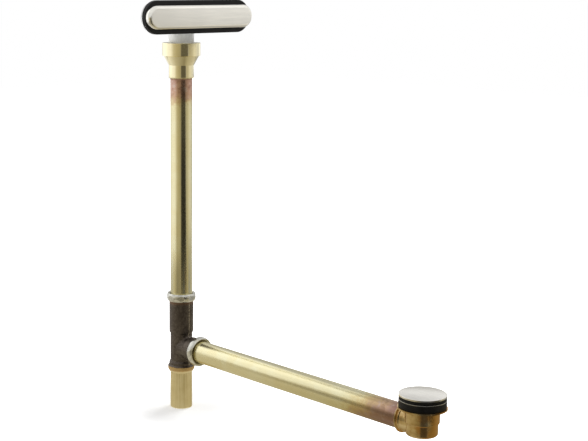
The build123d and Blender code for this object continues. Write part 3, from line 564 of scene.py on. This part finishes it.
def brazed_seam(name, body, axis, face, width):
    """A hollow ring round a tube, in the corner before a socket's end face."""
    others = [i for i in (X, Y, Z) if i != axis]
    centre = Vector((0, 0, branch_z)) if axis == X else Vector()
    sections = []
    for step in range(SEAM_POINTS):
        turn = 2 * math.pi * step / SEAM_POINTS
        leg = width * (1 + sum(size * math.sin(count * turn + phase) for size, count, phase in SEAM_WAVES))
        curve = [math.pi / 2 * i / SEAM_ARC for i in range(SEAM_ARC + 1)]
        corner = [(leg * (1 - math.sin(a)), leg * (1 - math.cos(a))) for a in curve]
        corner += [(-SEAM_SINK, leg), (-SEAM_SINK, -SEAM_SINK), (leg, -SEAM_SINK)]
        section = []
        for out, along in corner:
            point = centre.copy()
            point[axis] = face - along
            point[others[0]] += (tube_r + out) * math.cos(turn)
            point[others[1]] += (tube_r + out) * math.sin(turn)
            section.append(point)
        sections.append(section)
    skin = bmesh.new()
    loft(skin, sections, loop=True)
    return piece(name, skin, body)


collar_foot = node_box["overflow_collar"][0].z
shoe_mouth = node_box["drain_shoe"][0].x
seams = [
    brazed_seam("collar_seam", "riser", Z, collar_foot, SEAM_WIDTH),
    brazed_seam("shoe_seam", "drain_run", X, shoe_mouth, SEAM_WIDTH),
    brazed_seam("tee_seam", "tee_group", Z, tee_foot, TEE_SEAM_WIDTH),
]

# %% [markdown]
# ## Helpers for finishes
# Each finish starts from the shader's own sockets for what is the same all over, and adds noise
# for what changes. An image would need every surface unwrapped, and noise needs only a place. Places
# are in metres in the part's frame, so a mask can follow a real edge.

# %% Helpers for finishes
def new_finish(name, **constants):
    """A finish with its constants set, a wire into its tree, and the place on the part."""
    material = bpy.data.materials.new(name)
    material.use_nodes = True
    shader = material.node_tree.nodes["Principled BSDF"]
    for socket, value in constants.items():
        shader.inputs[socket.replace("_", " ")].default_value = value
    wire = Wire(material.node_tree)
    return material, shader, wire, wire.node("TexCoord", out="Object")


def rgb(red, green, blue):
    return (red, green, blue, 1.0)


def blend(wire, factor, low, high):
    """Go from one colour to another."""
    return wire.node("Mix", {"data_type": "RGBA"}, {0: factor, 6: low, 7: high}, out=2)


def ease(wire, value, start, end):
    """0 up to start and 1 from end, smooth between."""
    return wire.node("MapRange", {"interpolation_type": "SMOOTHSTEP"},
                     {"Value": value, "From Min": start, "From Max": end})


def grain(wire, place, scale, detail=2.0, stretch=(1, 1, 1)):
    """Noise from 0 to 1, stretched along the axes whose number is small."""
    where = wire.node("VectorMath", {"operation": "MULTIPLY"}, {0: place, 1: stretch})
    return wire.node("TexNoise", sockets={"Vector": where, "Scale": scale, "Detail": detail})


def relief(wire, height, depth):
    """A bump of a depth in metres, for the shader's normal."""
    return wire.node("Bump", sockets={"Height": height, "Distance": depth, "Strength": 1.0}, out="Normal")


def axes(wire, place):
    """The place's three coordinates as wires."""
    return [wire.node("SeparateXYZ", sockets={0: place}, out=i) for i in range(3)]


def dress(finish, *names):
    """Give CAD nodes a finish."""
    for name in names:
        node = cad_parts[name]
        node.data.materials.clear()
        node.data.materials.append(finish)


print("helpers ready")

# %% [markdown]
# ## Drawn brass tube
# The riser and the drain tube are drawn tube, bright but with faint lines along them from the
# die. The brazed end of each was red hot once. The tint goes from maroon at the seam through pink to
# straw, and its edge is broken. On the drain tube the tint reaches further along the lower side, and
# the colour there is darkened as painted shade under the tube. A painted image could show that. A
# colour ramp along the tube, pushed about by noise, does it without one, with darker and paler
# clouds over the hot part.

# %% Drawn brass tube
BRASS = rgb(0.81, 0.74, 0.46)
BRASS_PALE = rgb(0.83, 0.78, 0.52)
HEAT_DARK = rgb(0.30, 0.165, 0.13)
HEAT_PALE = rgb(0.64, 0.53, 0.46)
# Painted shade under the drain tube: a dark colour, and a lean and a shift of the tint with height.
UNDER_SHADE = rgb(0.36, 0.225, 0.165)
TINT_AND_SHADE_LEAN = 12
TINT_AND_SHADE_SHIFT = 0.10
SHADE_EDGE = 0.006
SHADE_WAVER = 0.012
LINE_STRETCH = 0.012
LINE_DEPTH = 0.000012


def drawn_tube(name, axis, hot_end, reach, tints, roughness, shaded_below=None):
    """Drawn tube along an axis, with tints from its hot end over a reach, in metres.

    Below a height, where one is given, the tints reach further and the colour darkens, as painted shade
    under the tube."""
    material, shader, wire, place = new_finish(name, Metallic=1.0)
    along = tuple(LINE_STRETCH if i == axis else 1 for i in (X, Y, Z))
    lines = grain(wire, place, scale=900, detail=3, stretch=along)
    clouds = grain(wire, place, scale=42, detail=3)
    blotches = grain(wire, place, scale=135, detail=5)
    spot = axes(wire, place)
    distance = abs(spot[axis] - hot_end) * (1 / reach)
    broken = distance + (clouds - 0.5) * 0.45 + (blotches - 0.5) * 0.50
    # Painted shade: the tint reaches further along the tube's lower side.
    if shaded_below is not None:
        broken = broken + (spot[Z] - shaded_below) * TINT_AND_SHADE_LEAN + TINT_AND_SHADE_SHIFT
    hot = 1 - ease(wire, broken, 0.20, 0.95)
    brass = blend(wire, ease(wire, clouds, 0.35, 0.7), BRASS, BRASS_PALE)
    tint = wire.node("ValToRGB", {"stops": tints}, {"Fac": broken})
    tint = blend(wire, ease(wire, blotches, 0.51, 0.62) * hot * 0.70, tint, HEAT_DARK)
    tint = blend(wire, (1 - ease(wire, blotches, 0.34, 0.46)) * hot * 0.55, tint, HEAT_PALE)
    # Painted shade: below the height the colour goes dark under the tube.
    if shaded_below is not None:
        height = spot[Z] + (clouds - 0.5) * SHADE_WAVER
        under = 1 - ease(wire, height, shaded_below - SHADE_EDGE, shaded_below)
        tint = blend(wire, under * (1 - ease(wire, broken, 0.25, 0.65)) * 0.7, tint, UNDER_SHADE)
    wire.feed(shader.inputs["Base Color"], blend(wire, ease(wire, broken, 0.62, 1.15), tint, brass))
    wire.feed(shader.inputs["Roughness"], roughness + lines * 0.08 + hot * 0.06)
    wire.feed(shader.inputs["Normal"], relief(wire, lines, depth=LINE_DEPTH))
    return material


print("drawn tube ready")

# %% Riser and drain tube
RISER_TINTS = (
    (0.0, rgb(0.46, 0.28, 0.22)), (0.2, rgb(0.56, 0.36, 0.285)), (0.6, rgb(0.59, 0.39, 0.27)),
    (0.82, rgb(0.66, 0.49, 0.28)), (1.0, BRASS))
DRAIN_TINTS = (
    (0.0, rgb(0.27, 0.145, 0.115)), (0.17, rgb(0.41, 0.26, 0.205)), (0.31, rgb(0.53, 0.35, 0.24)),
    (0.50, rgb(0.58, 0.42, 0.23)), (0.78, rgb(0.69, 0.55, 0.27)), (1.0, rgb(0.78, 0.69, 0.39)))
RISER_HEAT = 0.050
DRAIN_HEAT = 0.102
# Height below which the drain tube is darkened as painted shade.
SHADE_TOP = branch_z + 0.013

riser_brass = drawn_tube("riser_brass", Z, collar_foot, RISER_HEAT, RISER_TINTS, roughness=0.145)
drain_brass = drawn_tube("drain_brass", X, shoe_mouth, DRAIN_HEAT, DRAIN_TINTS, roughness=0.22,
                         shaded_below=SHADE_TOP)
dress(riser_brass, "overflow_tube")
dress(drain_brass, "drain_tube")
print("tubes tinted below", round(collar_foot, 4), "and before", round(shoe_mouth, 4))

# %% [markdown]
# ## Turned brass
# The collar is turned from bar and polished on the lathe, so its marks run round it. The same
# finish, darker and duller, serves the small brass pieces in the toe tap. The friction rings inside
# the slip joints take it almost black, as painted shade in the gap between each nut and its tube.

# %% Turned brass
def turned_brass(name, colour, roughness, pitch):
    """Lathe-turned brass: fine rings along the height, and a little haze."""
    material, shader, wire, place = new_finish(name, Metallic=1.0)
    rings = grain(wire, place, scale=pitch, detail=2, stretch=(0.02, 0.02, 1))
    haze = grain(wire, place, scale=45, detail=3)
    paler = rgb(*(min(1.0, channel * 1.08) for channel in colour[:3]))
    wire.feed(shader.inputs["Base Color"], blend(wire, ease(wire, haze, 0.3, 0.7), colour, paler))
    wire.feed(shader.inputs["Roughness"], roughness + rings * 0.05 + haze * 0.04)
    wire.feed(shader.inputs["Normal"], relief(wire, rings, depth=0.000008))
    return material


COLLAR_BRASS = rgb(0.89, 0.81, 0.54)
INNER_BRASS = rgb(0.50, 0.40, 0.20)
SHADED_RING_BRASS = rgb(0.16, 0.13, 0.07)

dress(turned_brass("collar_brass", COLLAR_BRASS, roughness=0.06, pitch=1400), "overflow_collar")
dress(turned_brass("inner_brass", INNER_BRASS, roughness=0.24, pitch=900), "toe_tap_barrel",
      "toe_tap_plunger")
# Painted shade: the friction rings are near black to darken the gap between nut and tube.
dress(turned_brass("shaded_ring_brass", SHADED_RING_BRASS, roughness=0.40, pitch=900), "overflow_friction_ring",
      "drain_friction_ring")
print("turned pieces dressed")

# %% [markdown]
# ## Satin tailpiece
# The tailpiece goes on into the trap, so nobody polishes it: it is satin, tan, and streaked from
# end to end. A plain roughness would look like plastic, so long noise streaks its colour, its
# roughness and its bump.

# %% Satin tailpiece
SATIN_TAN = rgb(0.67, 0.56, 0.29)
SATIN_PALE = rgb(0.86, 0.755, 0.475)

material, shader, wire, place = new_finish("satin_brass", Metallic=1.0)
streaks = grain(wire, place, scale=700, detail=3, stretch=(1, 1, 0.015))
clouds = grain(wire, place, scale=40, detail=3)
satin = ease(wire, streaks * 0.6 + clouds * 0.4, 0.35, 0.65)
wire.feed(shader.inputs["Base Color"], blend(wire, satin, SATIN_TAN, SATIN_PALE))
wire.feed(shader.inputs["Roughness"], 0.36 + streaks * 0.12)
wire.feed(shader.inputs["Normal"], relief(wire, streaks, depth=0.00002))
dress(material, "tailpiece")
print("tailpiece dressed")

# %% [markdown]
# ## Cast tee
# The tee keeps the dark brown skin of its mould, which still shines a little where the light is
# low. Brazing burnt the skin off its foot: the bead is tan and the cone below it is bare brass. The
# socket below the nut is reddish. The parting fin was ground, so it is paler than the skin. Separate
# finishes would meet in hard lines, so one finish has masks by height, with edges broken by noise.

# %% Cast tee
SKIN_DARK = rgb(0.072, 0.057, 0.046)
SKIN_BROWN = rgb(0.138, 0.115, 0.094)
SKIN_RED = rgb(0.22, 0.13, 0.08)
BEAD_TAN = rgb(0.60, 0.42, 0.20)
FIN_TAN = rgb(0.43, 0.38, 0.30)
BEAD_TOP = tee_foot + 0.0107
BEAD_FOOT = tee_foot + 0.0042
BURNT_EDGE = (BEAD_TOP - 0.0008, BEAD_TOP + 0.0012)
BARE_EDGE = (BEAD_FOOT - 0.0010, BEAD_FOOT + 0.0006)
RED_EDGE = (nut_foot - 0.008, nut_foot - 0.001)


def cast_skin(name, fin):
    """The tee's dark skin, or the paler ground metal of its fin."""
    material, shader, wire, place = new_finish(name)
    z = axes(wire, place)[Z]
    sand = grain(wire, place, scale=900, detail=3)
    pits = grain(wire, place, scale=320, detail=4)
    clouds = grain(wire, place, scale=55, detail=3)
    broken = z + (pits - 0.5) * 0.003
    burnt = 1 - ease(wire, broken, *BURNT_EDGE)
    bare = 1 - ease(wire, broken, *BARE_EDGE)
    reddish = ease(wire, z + (clouds - 0.5) * 0.006, *RED_EDGE)
    skin = blend(wire, ease(wire, clouds * 0.6 + pits * 0.4, 0.36, 0.62), SKIN_DARK, SKIN_BROWN)
    skin = blend(wire, reddish * 0.8, skin, SKIN_RED)
    if fin:
        skin = blend(wire, ease(wire, pits, 0.3, 0.6), skin, FIN_TAN)
    skin = blend(wire, burnt, skin, BEAD_TAN)
    wire.feed(shader.inputs["Base Color"], blend(wire, bare, skin, SATIN_PALE))
    wire.feed(shader.inputs["Metallic"], 0.86 + burnt * 0.14)
    wire.feed(shader.inputs["Roughness"], 0.42 + pits * 0.12 - burnt * 0.08)
    wire.feed(shader.inputs["Normal"], relief(wire, sand * 0.5 + pits, depth=0.00014))
    return material


dress(cast_skin("cast_skin", fin=False), "tee")
parting_fin.data.materials.append(cast_skin("ground_fin", fin=True))
print("tee dressed, nut foot at", round(nut_foot, 4))

# %% [markdown]
# ## Filler of the seams
# The filler is a paler, yellower metal than the brass, and the heat left it dull and spotted. One flat
# colour would look like paint, so the same noise spots its colour, its roughness and its bump.

# %% Filler of the seams
FILLER_BURNT = rgb(0.40, 0.28, 0.17)
FILLER_PALE = rgb(0.70, 0.58, 0.38)

material, shader, wire, place = new_finish("filler", Metallic=1.0)
spots = grain(wire, place, scale=260, detail=3)
wire.feed(shader.inputs["Base Color"], blend(wire, ease(wire, spots, 0.35, 0.65), FILLER_BURNT, FILLER_PALE))
wire.feed(shader.inputs["Roughness"], 0.26 + spots * 0.2)
wire.feed(shader.inputs["Normal"], relief(wire, spots, depth=0.0001))
for seam in seams:
    seam.data.materials.append(material)
print("seams dressed", len(seams))

# %% [markdown]
# ## Slip nuts
# The nuts are die-cast and nickel-plated. The plating is bright on the rounded lips and dull on
# the flats, and the casting's small dimples show through it as dark spots. Modelled dimples would
# take thousands of faces. The cells of a Voronoi texture give spots of one size, and one mask darkens,
# dulls and sinks them.

# %% Slip nuts
PLATE_DULL = rgb(0.50, 0.495, 0.44)
PLATE_BRIGHT = rgb(0.76, 0.75, 0.69)
DIMPLE = rgb(0.14, 0.13, 0.11)
DIMPLE_SCALE = 170.0

material, shader, wire, place = new_finish("nut_plating", Metallic=1.0)
clouds = grain(wire, place, scale=110, detail=3)
specks = wire.node("TexVoronoi", {"feature": "F1"},
                   {"Vector": place, "Scale": DIMPLE_SCALE, "Randomness": 1.0}, out="Distance")
dimples = 1 - ease(wire, specks, 0.10, 0.30)
plate = blend(wire, ease(wire, clouds, 0.3, 0.7), PLATE_DULL, PLATE_BRIGHT)
wire.feed(shader.inputs["Base Color"], blend(wire, dimples * 0.55, plate, DIMPLE))
wire.feed(shader.inputs["Roughness"], 0.20 + clouds * 0.12 + dimples * 0.2)
wire.feed(shader.inputs["Normal"], relief(wire, clouds * 0.6 - dimples, depth=0.00014))
dress(material, "overflow_slip_nut", "drain_slip_nut")
print("nuts dressed")

# %% [markdown]
# ## Brushed nickel
# The cover, the waste flange and the stopper's cap are what the bather sees: nickel plate, brushed
# in one direction and a little warm. The flange's nickel is much darker than the rest, as painted
# shade under the cap. An anisotropic shader would stretch the highlights, but it wouldn't show the
# lines. Noise stretched along one axis shows them in colour, roughness and bump.

# %% Brushed nickel
COVER_NICKEL = rgb(0.96, 0.935, 0.865)
CAP_NICKEL = rgb(0.89, 0.868, 0.81)
# Painted shade: a darker copy of the nickel for the flange under the cap.
SHADED_RIM_NICKEL = rgb(0.38, 0.37, 0.34)
ALONG_X = (0.03, 1, 1)
ALONG_Y = (1, 0.02, 1)


def brushed_nickel(name, colour, stretch):
    """Nickel with fine lines along the axis whose stretch is small."""
    material, shader, wire, place = new_finish(name, Metallic=1.0)
    hairs = grain(wire, place, scale=1500, detail=2, stretch=stretch)
    bands = grain(wire, place, scale=260, detail=2, stretch=stretch)
    clouds = grain(wire, place, scale=22, detail=2)
    tone = hairs * 0.5 + bands * 0.3 + clouds * 0.2
    dark = rgb(*(channel * 0.90 for channel in colour[:3]))
    wire.feed(shader.inputs["Base Color"], blend(wire, ease(wire, tone, 0.3, 0.7), dark, colour))
    wire.feed(shader.inputs["Roughness"], 0.19 + hairs * 0.08)
    wire.feed(shader.inputs["Normal"], relief(wire, hairs, depth=0.00001))
    return material


dress(brushed_nickel("cover_nickel", COVER_NICKEL, ALONG_Y), "overflow_cover")
dress(brushed_nickel("cap_nickel", CAP_NICKEL, ALONG_X), "stopper_cap")
# The flange takes the darker nickel, as painted shade under the cap.
dress(brushed_nickel("shaded_rim_nickel", SHADED_RIM_NICKEL, ALONG_X), "drain_flange")
print("nickel dressed")

# %% [markdown]
# ## Cast shoe
# The shoe under the waste is cast in yellow brass and tumbled, so it shines over its small waves:
# golden, and orange towards its +Y side. Its waves could be modelled, but they are shallow enough
# for a bump, and a mask that leans along y carries the orange.

# %% Cast shoe
SHOE_BROWN = rgb(0.52, 0.345, 0.14)
SHOE_GOLD = rgb(0.74, 0.57, 0.30)
SHOE_ORANGE = rgb(0.62, 0.31, 0.075)
WARM_LEAN = 12
WARM_SHIFT = 0.14

material, shader, wire, place = new_finish("shoe_brass", Metallic=1.0)
clouds = grain(wire, place, scale=70, detail=3)
sand = grain(wire, place, scale=600, detail=3)
warm = grain(wire, place, scale=34, detail=2)
gold = blend(wire, ease(wire, clouds, 0.32, 0.68), SHOE_BROWN, SHOE_GOLD)
# Orange towards +Y, by a mask that leans along y.
orange_side = ease(wire, warm + axes(wire, place)[Y] * WARM_LEAN + WARM_SHIFT, 0.45, 0.60)
wire.feed(shader.inputs["Base Color"], blend(wire, orange_side * 0.75, gold, SHOE_ORANGE))
wire.feed(shader.inputs["Roughness"], 0.12 + clouds * 0.14)
wire.feed(shader.inputs["Normal"], relief(wire, sand * 0.3 + clouds, depth=0.00022))
dress(material, "drain_shoe")
print("shoe dressed")

# %% [markdown]
# ## Rubber, plastic and steel
# The gaskets and seals are black rubber with a dusty bloom. The overflow body is white moulded
# plastic. The screws, the tray, the latch pin and the spring are plain steel. Little of them shows, so
# a noise or two for each is enough.

# %% Rubber
RUBBER_BLACK = rgb(0.003, 0.003, 0.003)
RUBBER_BLOOM = rgb(0.010, 0.009, 0.008)

material, shader, wire, place = new_finish("black_rubber", Specular_IOR_Level=0.25)
bloom = grain(wire, place, scale=80, detail=4)
pores = grain(wire, place, scale=1200, detail=2)
wire.feed(shader.inputs["Base Color"], blend(wire, ease(wire, bloom, 0.4, 0.75), RUBBER_BLACK, RUBBER_BLOOM))
wire.feed(shader.inputs["Roughness"], 0.46 + bloom * 0.2)
wire.feed(shader.inputs["Normal"], relief(wire, pores, depth=0.00003))
dress(material, "overflow_slip_washer", "drain_slip_washer", "spigot_seal", "overflow_gasket",
      "drain_gasket", "stopper_seal")
print("rubber dressed")

# %% White plastic
PLASTIC_GREY = rgb(0.78, 0.785, 0.77)
PLASTIC_WHITE = rgb(0.84, 0.84, 0.83)
GLOW_DEPTH = (0.003, 0.003, 0.003)

material, shader, wire, place = new_finish("white_plastic", Subsurface_Weight=0.05,
                                           Subsurface_Radius=GLOW_DEPTH)
flow = grain(wire, place, scale=30, detail=2)
pores = grain(wire, place, scale=1600, detail=2)
wire.feed(shader.inputs["Base Color"], blend(wire, flow, PLASTIC_GREY, PLASTIC_WHITE))
wire.feed(shader.inputs["Roughness"], 0.32 + flow * 0.12)
wire.feed(shader.inputs["Normal"], relief(wire, pores, depth=0.00001))
dress(material, "overflow_body")
print("plastic dressed")

# %% Plain steel
STEEL_DULL = rgb(0.42, 0.41, 0.39)
STEEL_BRIGHT = rgb(0.60, 0.59, 0.57)

material, shader, wire, place = new_finish("plain_steel", Metallic=1.0)
stains = grain(wire, place, scale=150, detail=3)
wire.feed(shader.inputs["Base Color"], blend(wire, stains, STEEL_DULL, STEEL_BRIGHT))
wire.feed(shader.inputs["Roughness"], 0.26 + stains * 0.2)
dress(material, "overflow_bracket", "bracket_screws", "cover_set_screws", "toe_tap_latch_pin",
      "toe_tap_spring")
print("steel dressed")
